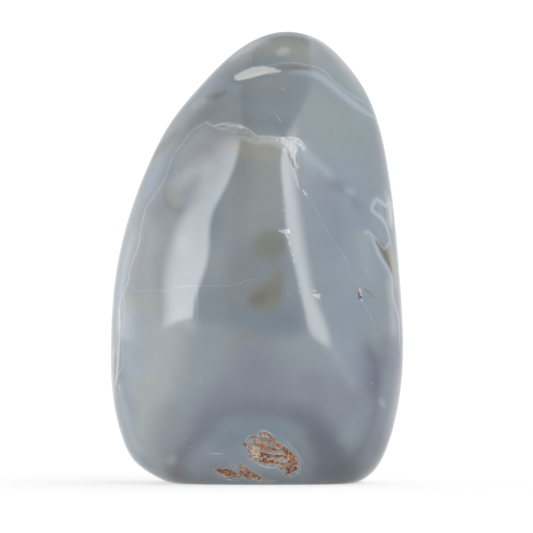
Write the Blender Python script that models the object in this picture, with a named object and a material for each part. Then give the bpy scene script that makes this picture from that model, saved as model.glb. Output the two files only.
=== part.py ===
"""A polished agate freeform: one standing stone with a domed top and a flat sawn base.

Frame: +Z up, the face that is looked at points to -Y, and the origin is the middle of the base.
The skin is a stack of rounded sections. It is worked out on a flat disc whose middle is the top of
the stone and whose rim is the edge of the base, so that the mesh can be refined where it is pitted.
"""

import math

import bmesh
import bpy
import numpy as np

MM = 0.001

# Driving dimensions, in millimetres
HEIGHT = 110.0
WIDTH = 71.4
DEPTH = 46.0

# Sections from the base to the top: height, left, right, front and back edges as shares of the
# driving dimensions, and squareness, which is 0 for an ellipse and near 1 for a box
SECTIONS = (
    (0.0000, -0.280, 0.322, -0.270, 0.290, 0.50),
    (0.0145, -0.347, 0.378, -0.340, 0.360, 0.50),
    (0.0455, -0.415, 0.420, -0.400, 0.420, 0.48),
    (0.1000, -0.461, 0.455, -0.452, 0.464, 0.45),
    (0.1820, -0.491, 0.485, -0.487, 0.490, 0.46),
    (0.3090, -0.500, 0.500, -0.500, 0.500, 0.50),
    (0.4545, -0.486, 0.489, -0.488, 0.487, 0.45),
    (0.5910, -0.440, 0.470, -0.450, 0.452, 0.38),
    (0.7090, -0.371, 0.444, -0.386, 0.396, 0.32),
    (0.8045, -0.291, 0.410, -0.325, 0.343, 0.36),
    (0.8820, -0.192, 0.357, -0.256, 0.286, 0.44),
    (0.9360, -0.110, 0.293, -0.186, 0.226, 0.30),
    (0.9780, -0.021, 0.221, -0.100, 0.152, 0.14),
    (1.0000, 0.102, 0.102, 0.028, 0.028, 0.00),
)

# Swells and hollows left by hand polishing: centre, reach and height, in millimetres
SWELLS = (
    ((1.0, -18.0, 80.0), 15.0, 0.67),
    ((14.0, -19.0, 62.0), 15.0, -0.17),
    ((-11.0, -22.0, 42.0), 9.0, 0.18),
    ((-1.0, -23.0, 38.0), 14.0, -0.47),
    ((22.0, 17.0, 48.0), 25.0, -0.35),
    ((-20.0, 16.0, 66.0), 24.0, -0.30),
)

# Strokes on the front face, in millimetres: x, height and half width of each point along them
PORE_CLUSTER = (
    ((1.3, 13.6, 0.5), (3.9, 12.2, 0.6)),
    ((-1.0, 12.4, 0.7), (1.9, 12.0, 0.7), (4.6, 10.9, 0.7), (6.8, 9.3, 0.8), (8.2, 7.8, 0.8)),
    ((0.7, 10.3, 0.4), (5.0, 9.6, 0.4)),
    ((-2.6, 10.9, 0.4), (-0.8, 10.4, 0.9), (-0.1, 9.1, 1.0), (-1.2, 8.0, 0.6)),
    ((1.4, 8.4, 0.7), (6.1, 7.8, 0.5)),
    ((1.0, 7.1, 0.8), (4.6, 6.3, 0.7)),
    ((7.3, 8.2, 0.8), (8.8, 6.0, 0.9)),
    ((5.5, 6.2, 0.7), (7.9, 4.0, 0.8)),
    ((8.6, 5.6, 0.9), (8.1, 3.8, 0.9)),
)
PORE_ROW = (
    ((-9.1, 4.5, 1.0), (-4.8, 3.2, 1.0)),
    ((-3.8, 5.6, 0.6), (-2.5, 3.7, 0.9)),
    ((-3.3, 3.4, 1.0), (0.3, 2.4, 0.9)),
    ((0.3, 2.6, 0.6), (3.5, 2.3, 0.4)),
)
TOP_NOTCH = (((-4.5, 98.2, 0.9), (-2.0, 99.1, 1.3), (1.5, 99.9, 1.2), (4.6, 100.2, 0.6)),)
LEDGE = (
    ((-21.2, 71.9, 0.4), (-20.6, 79.0, 0.5), (-17.8, 82.6, 0.5), (-14.7, 85.5, 0.6)),
    ((-14.7, 85.5, 0.6), (-12.0, 87.0, 0.7), (-10.5, 86.2, 0.9), (-7.8, 86.4, 1.0)),
    ((-7.8, 86.4, 1.0), (-1.9, 85.4, 1.2), (0.0, 84.2, 1.0), (6.8, 83.3, 0.9)),
)
LEDGE_CHIP = (
    ((6.8, 83.3, 0.8), (8.5, 82.4, 1.5), (9.0, 80.2, 1.2), (9.4, 77.6, 0.6), (10.1, 72.0, 0.3)),
    ((8.5, 82.9, 1.0), (10.4, 82.3, 0.7), (11.6, 80.9, 0.3)),
)
SIDE_PIT = (((25.0, 47.9, 0.5), (24.8, 45.3, 0.6)),)

# Each carving: its strokes, depth, width of the sloping edge, how rough its floor is, and how
# many times the faces there are split
CARVINGS = (
    (PORE_CLUSTER, 0.85, 0.45, 0.35, 3),
    (PORE_ROW, 0.80, 0.45, 0.35, 3),
    (TOP_NOTCH, 0.45, 0.90, 0.05, 2),
    (LEDGE, 0.22, 0.60, 0.20, 2),
    (LEDGE_CHIP, 0.35, 0.50, 0.25, 3),
    (SIDE_PIT, 0.60, 0.40, 0.20, 3),
)

# Mesh density: sections up the stone, points around it, and how near to a carving, in
# millimetres, a face is split at each turn
RINGS = 36
SPOKES = 60
SPLIT_WITHIN = (2.0, 0.7, 0.2)

# The step across the disc that gives a normal, and the height, in millimetres, below which swells
# and carvings fade away to the flat base
NORMAL_STEP = 1e-4
FADE_HEIGHT = 1.6

# Waves that make up the uneven floor of a carving: strength, then x and height turns in radians
# per millimetre and start of each of two crossed waves
FLOOR_WAVES = (
    (0.6, (3.1, 1.7, 0.0), (-1.1, 2.3, 0.8)),
    (0.4, (5.9, -2.2, 1.3), (2.6, 4.7, 0.0)),
)

FAR_OUTSIDE = -1000.0
CREASE_ANGLE = math.radians(50)


class Spline:
    """A cubic spline through values at knots. An end slope of None leaves that end straight."""

    def __init__(self, knots, values, start_slope=None, end_slope=None):
        self.knots = np.asarray(knots, float)
        self.values = np.asarray(values, float)
        count = len(self.knots)
        step = np.diff(self.knots)
        rise = np.diff(self.values) / step
        matrix = np.zeros((count, count))
        right = np.zeros(count)
        for i in range(1, count - 1):
            matrix[i, i - 1] = step[i - 1]
            matrix[i, i] = 2 * (step[i - 1] + step[i])
            matrix[i, i + 1] = step[i]
            right[i] = 6 * (rise[i] - rise[i - 1])
        matrix[0, 0] = matrix[-1, -1] = 1
        if start_slope is not None:
            matrix[0, :2] = 2 * step[0], step[0]
            right[0] = 6 * (rise[0] - start_slope)
        if end_slope is not None:
            matrix[-1, -2:] = step[-1], 2 * step[-1]
            right[-1] = 6 * (end_slope - rise[-1])
        self.bends = np.linalg.solve(matrix, right)

    def __call__(self, at):
        at = np.clip(np.asarray(at, float), self.knots[0], self.knots[-1])
        i = np.clip(np.searchsorted(self.knots, at) - 1, 0, len(self.knots) - 2)
        step = self.knots[i + 1] - self.knots[i]
        a = (self.knots[i + 1] - at) / step
        b = 1 - a
        curve = (a**3 - a) * self.bends[i] + (b**3 - b) * self.bends[i + 1]
        return a * self.values[i] + b * self.values[i + 1] + curve * step**2 / 6


def section_splines():
    """Splines of height, left, right, front, back and squareness against the way up, 0 to 1."""
    table = np.array(SECTIONS)
    height = table[:, 0] * HEIGHT
    left, right = table[:, 1] * WIDTH, table[:, 2] * WIDTH
    front, back = table[:, 3] * DEPTH, table[:, 4] * DEPTH
    half = (right - left) / 2
    way = np.concatenate([[0], np.cumsum(np.hypot(np.diff(height), np.diff(half)))])
    way /= way[-1]
    return (
        Spline(way, height, 0.0, 0.0),
        Spline(way, left),
        Spline(way, right),
        Spline(way, front),
        Spline(way, back),
        Spline(way, table[:, 5]),
    )


SECTION_SPLINES = section_splines()


def smooth_skin(disc):
    """Points of the stone before any swell or carving, in millimetres, from points of the disc."""
    reach = np.hypot(disc[:, 0], disc[:, 1])
    angle = np.arctan2(disc[:, 1], disc[:, 0])
    height, left, right, front, back, squareness = (s(1 - reach) for s in SECTION_SPLINES)
    cosine, sine = np.cos(angle), np.sin(angle)
    stretch = np.sqrt(2 / (1 + np.sqrt(1 - 4 * squareness * (cosine * sine) ** 2)))
    x = (left + right) / 2 + (right - left) / 2 * stretch * cosine
    y = (front + back) / 2 + (back - front) / 2 * stretch * sine
    return np.stack([x, y, height], axis=1)


def skin_normals(disc):
    """Outward unit normals of the smooth skin, from small steps across the disc."""
    step = NORMAL_STEP
    across = smooth_skin(disc + (step, 0)) - smooth_skin(disc - (step, 0))
    along = smooth_skin(disc + (0, step)) - smooth_skin(disc - (0, step))
    normal = np.cross(across, along)
    return normal / np.linalg.norm(normal, axis=1)[:, None]


def swell(points):
    """How far the polished skin stands out or in at each point."""
    out = np.zeros(len(points))
    for centre, reach, height in SWELLS:
        squared = ((points - np.array(centre)) ** 2).sum(axis=1)
        out += height * np.exp(-squared / reach**2)
    return out


def stroke_inside(points, strokes):
    """How far each front point is inside the nearest stroke. It is negative outside."""
    flat = points[:, (0, 2)]
    best = np.full(len(points), FAR_OUTSIDE)
    for stroke in strokes:
        for (x0, z0, r0), (x1, z1, r1) in zip(stroke, stroke[1:]):
            start, run = np.array((x0, z0)), np.array((x1 - x0, z1 - z0))
            along = np.clip((flat - start) @ run / (run @ run), 0, 1)
            away = np.linalg.norm(flat - start - along[:, None] * run, axis=1)
            best = np.maximum(best, r0 + (r1 - r0) * along - away)
    return np.where(points[:, 1] < 0, best, FAR_OUTSIDE)


def lumps(points):
    """A fixed uneven pattern from -1 to 1, about 1.5 mm across."""
    x, z = points[:, 0], points[:, 2]
    total = np.zeros(len(points))
    for strength, *waves in FLOOR_WAVES:
        crossed = [np.sin(turn_x * x + turn_z * z + start) for turn_x, turn_z, start in waves]
        total += strength * crossed[0] * crossed[1]
    return total


def ease(share):
    """A soft step from 0 to 1 as the share goes from 0 to 1."""
    share = np.clip(share, 0, 1)
    return share * share * (3 - 2 * share)


def carved(points):
    """How deep the carvings go at each front point."""
    deepest = np.zeros(len(points))
    for strokes, depth, edge, rough, _ in CARVINGS:
        inside = stroke_inside(points, strokes)
        share = ease(inside / edge + 0.5)
        deepest = np.maximum(deepest, share * depth * (1 + rough * lumps(points)))
    return deepest


def stone_points(disc):
    """The finished skin in millimetres."""
    smooth = smooth_skin(disc)
    out = (swell(smooth) - carved(smooth)) * ease(smooth[:, 2] / FADE_HEIGHT)
    return smooth + skin_normals(disc) * out[:, None]


def disc_mesh():
    """The flat disc: a point in the middle, rings of quads round it, and finer faces at carvings."""
    disc = bmesh.new()
    middle = disc.verts.new((0, 0, 0))
    rings = []
    for ring in range(1, RINGS + 1):
        reach = ring_reach(ring / RINGS)
        angles = [2 * math.pi * spoke / SPOKES for spoke in range(SPOKES)]
        rings.append([disc.verts.new((reach * math.cos(a), reach * math.sin(a), 0)) for a in angles])
    for spoke in range(SPOKES):
        after = (spoke + 1) % SPOKES
        disc.faces.new((middle, rings[0][spoke], rings[0][after]))
        for inner, outer in zip(rings, rings[1:]):
            disc.faces.new((inner[spoke], outer[spoke], outer[after], inner[after]))
    for turn, within in enumerate(SPLIT_WITHIN):
        split_near_carvings(disc, within, turn)
    for vert in disc.verts:
        if vert.is_boundary:
            vert.co.normalize()
    return disc


def ring_reach(share):
    """Where a ring lies on the disc. Rings stand closer at the top and at the base's edge."""
    return 0.5 * share + 0.25 * (1 - math.cos(math.pi * share))


def split_near_carvings(disc, within, turn):
    """Splits each face whose middle is that near to a carving that is split at this turn."""
    disc.faces.ensure_lookup_table()
    middles = np.array([face.calc_center_median()[:2] for face in disc.faces])
    points = smooth_skin(middles)
    near = np.zeros(len(points), bool)
    for strokes, _, _, _, splits in CARVINGS:
        if turn < splits:
            near |= stroke_inside(points, strokes) > -within
    faces = [face for face, chosen in zip(disc.faces, near) if chosen and len(face.verts) <= 6]
    edges = list({edge for face in faces for edge in face.edges})
    bmesh.ops.subdivide_edges(disc, edges=edges, cuts=1, use_grid_fill=True)


def stone_mesh():
    """The disc moved onto the skin and closed by the flat base."""
    body = disc_mesh()
    body.verts.ensure_lookup_table()
    points = stone_points(np.array([vert.co[:2] for vert in body.verts])) * MM
    for vert, point in zip(body.verts, points):
        vert.co = point
    rim = [edge for edge in body.edges if edge.is_boundary]
    bmesh.ops.contextual_create(body, geom=rim)
    bmesh.ops.triangulate(body, faces=body.faces[:])
    bmesh.ops.recalc_face_normals(body, faces=body.faces[:])
    mesh = bpy.data.meshes.new("agate_stone")
    body.to_mesh(mesh)
    body.free()
    mesh.shade_smooth()
    mesh.set_sharp_from_angle(angle=CREASE_ANGLE)
    return mesh


def agate_material():
    """Polished blue-grey chalcedony."""
    material = bpy.data.materials.new("polished_agate")
    material.use_nodes = True
    shader = material.node_tree.nodes["Principled BSDF"]
    shader.inputs["Base Color"].default_value = (0.27, 0.31, 0.34, 1)
    shader.inputs["Roughness"].default_value = 0.08
    shader.inputs["Metallic"].default_value = 0.0
    shader.inputs["IOR"].default_value = 1.54
    return material


def main():
    for old in list(bpy.data.objects):
        bpy.data.objects.remove(old)
    stone = bpy.data.objects.new("agate_stone", stone_mesh())
    stone.data.materials.append(agate_material())
    bpy.context.scene.collection.objects.link(stone)


main()
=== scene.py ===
"""The looks of the polished agate: clouded skin, veins, chips and rough pores, in a white light tent.

Frame: +Z up, the face that is looked at points to -Y, and the origin is the middle of the base.
Shapes are worked out in millimetres. They become metres when a mesh, light or camera is made.
"""

import math

import bmesh
import bpy
import numpy as np
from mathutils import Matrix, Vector, noise
from mathutils.bvhtree import BVHTree


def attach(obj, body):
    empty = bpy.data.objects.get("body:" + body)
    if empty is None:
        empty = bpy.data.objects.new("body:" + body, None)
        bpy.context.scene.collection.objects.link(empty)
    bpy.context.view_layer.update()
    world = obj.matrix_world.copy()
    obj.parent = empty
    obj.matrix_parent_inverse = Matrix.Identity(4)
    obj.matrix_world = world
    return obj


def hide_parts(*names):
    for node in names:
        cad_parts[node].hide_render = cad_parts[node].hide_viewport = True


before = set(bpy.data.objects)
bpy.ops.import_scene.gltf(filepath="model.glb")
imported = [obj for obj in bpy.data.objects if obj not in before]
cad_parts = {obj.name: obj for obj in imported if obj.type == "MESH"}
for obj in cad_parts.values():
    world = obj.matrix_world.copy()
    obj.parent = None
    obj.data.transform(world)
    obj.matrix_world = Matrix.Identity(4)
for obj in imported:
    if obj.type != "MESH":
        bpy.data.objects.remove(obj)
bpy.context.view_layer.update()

MM = 0.001

# Driving dimensions, in millimetres
HEIGHT = 110
WIDTH = 71.4
DEPTH = 46

# Sections from the base to the top: height, left, right, front and back edges as shares of the
# driving dimensions, and squareness, which is 0 for an ellipse and near 1 for a box
SECTIONS = (
    (0.0000, -0.280, 0.322, -0.270, 0.290, 0.50),
    (0.0145, -0.347, 0.378, -0.340, 0.360, 0.50),
    (0.0455, -0.415, 0.420, -0.400, 0.420, 0.48),
    (0.1000, -0.461, 0.455, -0.452, 0.464, 0.45),
    (0.1820, -0.491, 0.485, -0.487, 0.490, 0.46),
    (0.3090, -0.500, 0.500, -0.500, 0.500, 0.50),
    (0.4545, -0.486, 0.489, -0.488, 0.487, 0.45),
    (0.5910, -0.440, 0.470, -0.450, 0.452, 0.38),
    (0.7090, -0.371, 0.444, -0.386, 0.396, 0.32),
    (0.8045, -0.291, 0.410, -0.325, 0.343, 0.36),
    (0.8820, -0.192, 0.357, -0.256, 0.286, 0.44),
    (0.9360, -0.110, 0.293, -0.186, 0.226, 0.30),
    (0.9780, -0.021, 0.221, -0.100, 0.152, 0.14),
    (1.0000, 0.102, 0.102, 0.028, 0.028, 0.00),
)

# Swells and hollows left by hand polishing: centre, reach and height, in millimetres
SWELLS = (
    ((1.0, -18.0, 80.0), 15.0, 0.67),
    ((14.0, -19.0, 62.0), 15.0, -0.17),
    ((-11.0, -22.0, 42.0), 9.0, 0.18),
    ((-1.0, -23.0, 38.0), 14.0, -0.47),
    ((22.0, 17.0, 48.0), 25.0, -0.35),
    ((-20.0, 16.0, 66.0), 24.0, -0.30),
)

# Slighter ones, which only bend the reflections: the pixel of the photograph at the centre, and
# reach and height, in millimetres
POLISH = (
    ((226, 262), 6.5, 0.17),
    ((332, 368), 9.0, 0.20),
    ((196, 212), 6.0, 0.13),
    ((178, 302), 4.5, 0.04),
    ((264, 160), 6.0, 0.10),
)

# The photograph: its side in pixels, pixels for a millimetre, and the x and height, in
# millimetres, of the point in the middle of the picture
PHOTO_SIDE = 533
PHOTO_SCALE = 4.105
PHOTO_MIDDLE = (2.25, 52.75)
CAMERA_AWAY = 2500.0
CAMERA_RISE = math.radians(1.0)
SENSOR = 36.0

# Strokes of the carvings, in pixels of the photograph: column, row and half width of each point
PORE_CLUSTER = (
    ((261, 433.5, 1.4), (265, 435.5, 2.4), (269, 437.5, 2.2), (273, 440, 1.6)),
    ((252.5, 438.5, 2.2), (257, 440.5, 3), (263, 441.5, 2.4), (270, 443, 2.2), (277, 446)),
    ((277, 446, 2.2), (283, 450, 3), (288, 453.5, 3.2), (292, 458, 3.6), (295.5, 465, 3), (296, 472, 1.8)),
    ((243.5, 444.6, 1.2), (249, 447.5, 3.2), (255, 449.5, 5.2), (262, 448.5, 3.6), (269, 449.6, 2.4)),
    ((269, 449.6, 2.4), (277, 452, 1.6)),
    ((250, 457.5, 1.4), (256, 457, 3.4), (262, 457, 4.4), (269, 457.5, 3), (277, 457.8, 2.2), (292, 459, 3)),
    ((255, 452, 4), (259, 458, 4.6), (264, 461.5, 3.8), (271, 463.4, 2.8), (278, 464.4, 2.2),
     (283, 466, 2.8)),
    ((280, 465, 2.2), (285, 469, 3.8), (289.5, 475, 3)),
    ((289, 464, 2.4), (292.5, 468, 3.4), (292, 474, 3)),
)
PORE_ROW = (
    ((217.5, 471.5, 2.6), (222, 473, 5.2), (228, 474.8, 6.2), (234, 477, 5.2)),
    ((240.4, 466.2, 1.4), (242.4, 469.5, 3.4), (246, 474.5, 5.8)),
    ((246, 474.5, 5.8), (252, 477.2, 5.4), (259, 479.8, 3.6), (266, 481.4, 2), (273.5, 482, 0.8)),
)
TOP_NOTCH = (((236, 79, 3.6), (246, 75, 5.4), (262, 71.5, 5), (278, 72, 1.6)),)
LEDGE = (
    ((196, 129, 1.6), (206, 123.5, 2.4), (214, 127.5, 3.6), (225, 127, 4.4)),
    ((225, 127, 4.4), (237, 130, 5), (249, 133, 4.8), (258, 138, 3.6)),
    ((258, 138, 3.6), (270, 140, 3.4), (286, 142, 3.8)),
)
LEDGE_CHIP = (
    ((284, 141, 3), (290, 144, 4.8), (293.5, 150, 4.6), (293.5, 157, 2.6), (296, 166, 1.2)),
    ((291, 141.5, 3.2), (299, 143.5, 2.4), (304, 149.5, 1.2)),
)
SIDE_PIT = (((360.2, 288, 0.8), (359.6, 293, 1.3), (361, 299, 1)),)

# Each carving: its strokes, depth, width of the sloping edge, how rough its floor is, and how
# many times faces there are split
CARVINGS = (
    (PORE_CLUSTER, 0.80, 0.60, 0.45, 2),
    (PORE_ROW, 0.75, 0.60, 0.45, 2),
    (TOP_NOTCH, 0.22, 1.30, 0.05, 1),
    (LEDGE, 0.05, 1.00, 0.20, 1),
    (LEDGE_CHIP, 0.10, 0.90, 0.35, 1),
    (SIDE_PIT, 0.30, 0.40, 0.30, 2),
)

# Mesh density: sections up the stone, points around it, how near to a carving or a mark, in
# millimetres, a face is split at each turn, and the most corners that such a face has
RINGS = 190
SPOKES = 300
SPLIT_WITHIN = (0.8, 0.3)
MOST_CORNERS = 6

# The step across the disc that finds a normal, and the height, in millimetres, below which swells
# and carvings fade out so that the base stays flat
NORMAL_STEP = 1e-4
FADE_HEIGHT = 1.6

# Traces: the way from point to point in the stroke's unit, and in millimetres how near a point of
# the skin is measured, and the distance that stands for none near
TRACE_STEP = 2.0
REACH = 3.0
FAR_AWAY = 20.0

# The uneven floors of the carvings: lumps for a millimetre, and how strongly they show
LUMP_SCALE = 1.1
LUMP_GAIN = 1.6

# The plain skin that strokes are laid on: sections, points around it, and the x that side strokes
# are aimed at
SKIN_RINGS = 160
SKIN_SPOKES = 240
AXIS_X = 4.0


class Spline:
    """A cubic spline through values at knots, whose ends are straight, or level if asked for."""

    def __init__(self, knots, values, level_ends=False):
        self.knots = np.asarray(knots, float)
        self.values = np.asarray(values, float)
        step = np.diff(self.knots)
        rise = np.diff(self.values) / step
        matrix = np.diag(step, 1) + np.diag(step, -1)
        matrix += np.diag(2 * (np.append(step, 0) + np.append(0, step)))
        right = 6 * np.diff(rise, prepend=0, append=0)
        if not level_ends:
            matrix[0] = matrix[-1] = 0
            matrix[0, 0] = matrix[-1, -1] = 1
            right[0] = right[-1] = 0
        self.bends = np.linalg.solve(matrix, right)

    def __call__(self, at):
        at = np.clip(np.asarray(at, float), self.knots[0], self.knots[-1])
        i = np.clip(np.searchsorted(self.knots, at) - 1, 0, len(self.knots) - 2)
        step = self.knots[i + 1] - self.knots[i]
        a = (self.knots[i + 1] - at) / step
        b = 1 - a
        curve = (a**3 - a) * self.bends[i] + (b**3 - b) * self.bends[i + 1]
        return a * self.values[i] + b * self.values[i + 1] + curve * step**2 / 6


def way_along(x, y):
    """How far along a line of points each of them is."""
    return np.concatenate([[0], np.cumsum(np.hypot(np.diff(x), np.diff(y)))])


def section_splines():
    """Splines of height, left, right, front, back and squareness against the way up, 0 to 1."""
    height, *others = (np.array(SECTIONS) * (HEIGHT, WIDTH, WIDTH, DEPTH, DEPTH, 1)).T
    way = way_along(height, (others[1] - others[0]) / 2)
    way /= way[-1]
    return [Spline(way, height, level_ends=True)] + [Spline(way, other) for other in others]


SECTION_SPLINES = section_splines()


def smooth_skin(disc):
    """Points of the stone before any swell or carving, in millimetres, from points of the disc."""
    reach = np.hypot(disc[:, 0], disc[:, 1])
    angle = np.arctan2(disc[:, 1], disc[:, 0])
    height, left, right, front, back, squareness = (s(1 - reach) for s in SECTION_SPLINES)
    cosine, sine = np.cos(angle), np.sin(angle)
    stretch = np.sqrt(2 / (1 + np.sqrt(1 - 4 * squareness * (cosine * sine) ** 2)))
    x = (left + right) / 2 + (right - left) / 2 * stretch * cosine
    y = (front + back) / 2 + (back - front) / 2 * stretch * sine
    return np.stack([x, y, height], axis=1)


def slopes_across(surface, disc):
    """Unit normals of a surface over the disc, from small steps across it."""
    step = NORMAL_STEP
    across = surface(disc + (step, 0)) - surface(disc - (step, 0))
    along = surface(disc + (0, step)) - surface(disc - (0, step))
    normal = np.cross(across, along)
    return normal / np.maximum(np.linalg.norm(normal, axis=1), 1e-12)[:, None]


def swell(points, swells):
    """How far the swells stand out or in at each point."""
    out = np.zeros(len(points))
    for centre, reach, height in swells:
        squared = ((points - np.array(centre)) ** 2).sum(axis=1)
        out += height * np.exp(-squared / reach**2)
    return out


def ease(share):
    """A soft step from 0 to 1 as the share goes from 0 to 1."""
    share = np.clip(share, 0, 1)
    return share * share * (3 - 2 * share)


def polished_skin(disc):
    """The polished skin with its swells, in millimetres."""
    smooth = smooth_skin(disc)
    out = swell(smooth, SWELLS) * ease(smooth[:, 2] / FADE_HEIGHT)
    return smooth + slopes_across(smooth_skin, disc) * out[:, None]


def disc_of_rings(rings, spokes):
    """The flat disc: a point in the middle and rings of quads round it. The rings stand closer at
    the middle, which is the top of the stone, and at the edge, which is that of its base."""
    disc = bmesh.new()
    inner = [disc.verts.new((0, 0, 0))] * spokes
    for ring in range(1, rings + 1):
        share = ring / rings
        reach = 0.5 * share + 0.25 * (1 - math.cos(math.pi * share))
        angles = [2 * math.pi * spoke / spokes for spoke in range(spokes)]
        outer = [disc.verts.new((reach * math.cos(a), reach * math.sin(a), 0)) for a in angles]
        for spoke in range(spokes):
            after = (spoke + 1) % spokes
            corners = inner[spoke], outer[spoke], outer[after], inner[after]
            disc.faces.new(tuple(dict.fromkeys(corners)))
        inner = outer
    return disc


def flat_points(disc):
    return np.array([vert.co[:2] for vert in disc.verts])


class Skin:
    """The polished skin as plain faces, to find the points of it that a line meets."""

    def __init__(self):
        middle = Vector((PHOTO_MIDDLE[0], 0, PHOTO_MIDDLE[1]))
        self.back = Vector((0, -math.cos(CAMERA_RISE), math.sin(CAMERA_RISE)))
        self.up = Vector((0, math.sin(CAMERA_RISE), math.cos(CAMERA_RISE)))
        self.camera = middle + self.back * CAMERA_AWAY
        disc = disc_of_rings(SKIN_RINGS, SKIN_SPOKES)
        for vert, point in zip(disc.verts, polished_skin(flat_points(disc))):
            vert.co = point
        self.tree = BVHTree.FromBMesh(disc)
        disc.free()

    def at_pixel(self, column, row):
        """The point that is seen at a column and row of the photograph."""
        across = (column - PHOTO_SIDE / 2) / PHOTO_SCALE
        down = (row - PHOTO_SIDE / 2) / PHOTO_SCALE
        aim = Vector((across, 0, 0)) - self.up * down - self.back * CAMERA_AWAY
        hit = self.tree.ray_cast(self.camera, aim.normalized())[0]
        if hit is None:
            hit = self.tree.find_nearest(self.camera + aim)[0]
        return hit

    def at_side(self, azimuth, height):
        """The point at a height in millimetres, seen from an azimuth in degrees, with 90 at the right."""
        turn = math.radians(azimuth)
        outward = Vector((math.sin(turn), -math.cos(turn), 0))
        start = Vector((AXIS_X, 0, height)) + outward * 2 * WIDTH
        return self.tree.ray_cast(start, -outward)[0]


SKIN = Skin()


def trace_through(stroke, find, scale):
    """A smooth curve through a stroke, laid on the stone: x, y, z and half width in millimetres.
    A point of the stroke that gives no half width has that of the point before."""
    points = [stroke[0]]
    for point in stroke[1:]:
        points.append((*point, *points[-1][len(point) :]))
    first, second, half = np.array(points, float).T
    way = way_along(first, second)
    at = np.linspace(0, way[-1], max(2, math.ceil(way[-1] / TRACE_STEP) + 1))
    rows = zip(Spline(way, first)(at), Spline(way, second)(at), np.interp(at, way, half) / scale)
    return np.array([(*find(a, b), width) for a, b, width in rows])


def seen(*strokes):
    """Traces of strokes in pixels of the photograph: column, row and half width."""
    return [trace_through(stroke, SKIN.at_pixel, PHOTO_SCALE) for stroke in strokes]


def around(*strokes):
    """Traces of strokes on any side: azimuth in degrees, and height and half width in millimetres."""
    return [trace_through(stroke, SKIN.at_side, 1) for stroke in strokes]


def laid(find, *rows, settings=3):
    """Traces and then settings, from rows of that many settings and then strokes, or the points of
    one stroke."""
    result = []
    for row in rows:
        strokes = row[settings:]
        if not isinstance(strokes[0][0], tuple):
            strokes = (strokes,)
        result.append((find(*strokes), *row[:settings]))
    return result


def measure(points, normals, traces, reach=REACH):
    """How far each point is inside the nearest trace, its distance from the trace's middle, which
    is negative on one side, and the trace's half width there, all in millimetres."""
    inside = np.full(len(points), -FAR_AWAY)
    beside = np.full(len(points), FAR_AWAY)
    half = np.zeros(len(points))
    for trace in traces:
        margin = reach + trace[:, 3].max()
        low, high = trace[:, :3].min(axis=0) - margin, trace[:, :3].max(axis=0) + margin
        near = np.flatnonzero(((points > low) & (points < high)).all(axis=1))
        close = points[near]
        for start, end in zip(trace, trace[1:]):
            run = end[:3] - start[:3]
            along = np.clip((close - start[:3]) @ run / max(run @ run, 1e-9), 0, 1)
            offset = close - start[:3] - along[:, None] * run
            away = np.linalg.norm(offset, axis=1)
            width = start[3] + (end[3] - start[3]) * along
            better = width - away > inside[near]
            chosen = near[better]
            inside[chosen] = (width - away)[better]
            half[chosen] = width[better]
            if normals is not None:
                turn = (np.cross(run, offset[better]) * normals[chosen]).sum(axis=1)
                beside[chosen] = np.where(turn < 0, -away[better], away[better])
    return inside, beside, half


def depth_inside(points, traces, reach=REACH):
    """How far each point is inside the nearest trace, in millimetres. It is negative outside."""
    return measure(points, None, traces, reach)[0]


CARVED_TRACES = [(seen(*strokes), *rest) for strokes, *rest in CARVINGS]


def lumps(points):
    """A fixed uneven pattern from about -1 to 1 for the floors of the carvings."""
    return np.array([noise.fractal(Vector(p) * LUMP_SCALE, 0.7, 2.1, 4) for p in points])


def carved(points):
    """How deep the carvings go at each point."""
    deepest = np.zeros(len(points))
    for traces, depth, edge, rough, _ in CARVED_TRACES:
        inside = depth_inside(points, traces)
        near = np.flatnonzero(inside > -edge)
        share = ease(inside[near] / edge + 0.5)
        floor = share * depth * (1 + rough * LUMP_GAIN * lumps(points[near]))
        deepest[near] = np.maximum(deepest[near], floor)
    return deepest


POLISHED = [(np.array(SKIN.at_pixel(*centre)), reach, height) for centre, reach, height in POLISH]


def stone_skin(disc):
    """The finished skin with its carvings, in millimetres."""
    skin = polished_skin(disc)
    out = (swell(skin, POLISHED) - carved(skin)) * ease(skin[:, 2] / FADE_HEIGHT)
    return skin + slopes_across(smooth_skin, disc) * out[:, None]


def split_near_traces(disc, within, turn):
    """Splits each face whose middle is that near to a carving or mark that is split at this turn."""
    middles = np.array([face.calc_center_median()[:2] for face in disc.faces])
    points = polished_skin(middles)
    near = np.zeros(len(points), bool)
    for traces, splits in SPLIT_TRACES:
        if turn < splits:
            near |= depth_inside(points, traces) > -within
    faces = [face for face, chosen in zip(disc.faces, near) if chosen and len(face.verts) <= MOST_CORNERS]
    edges = list({edge for face in faces for edge in face.edges})
    bmesh.ops.subdivide_edges(disc, edges=edges, cuts=1, use_grid_fill=True)


def fine_disc():
    """The disc of the finished stone, with smaller faces at the carvings and marks."""
    disc = disc_of_rings(RINGS, SPOKES)
    for turn, within in enumerate(SPLIT_WITHIN):
        split_near_traces(disc, within, turn)
    for vert in disc.verts:
        if vert.is_boundary:
            vert.co.normalize()
    return disc


def srgb(red, green, blue):
    """Linear colour from values of 0 to 255 as they show on a screen."""
    share = np.array((red, green, blue)) / 255
    return np.where(share <= 0.04045, share / 12.92, ((share + 0.055) / 1.055) ** 2.4)


# How much light reaches the front, how much the polish mirrors, and the least that a colour keeps.
# Colours are as the photograph shows them, and skin_colour turns them into the stone's own.
LIGHT = 1.16
SHEEN = 0.02
DARKEST = 0.004


def skin_colour(red, green, blue):
    return np.maximum(srgb(red, green, blue) - SHEEN, DARKEST) / LIGHT


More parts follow.
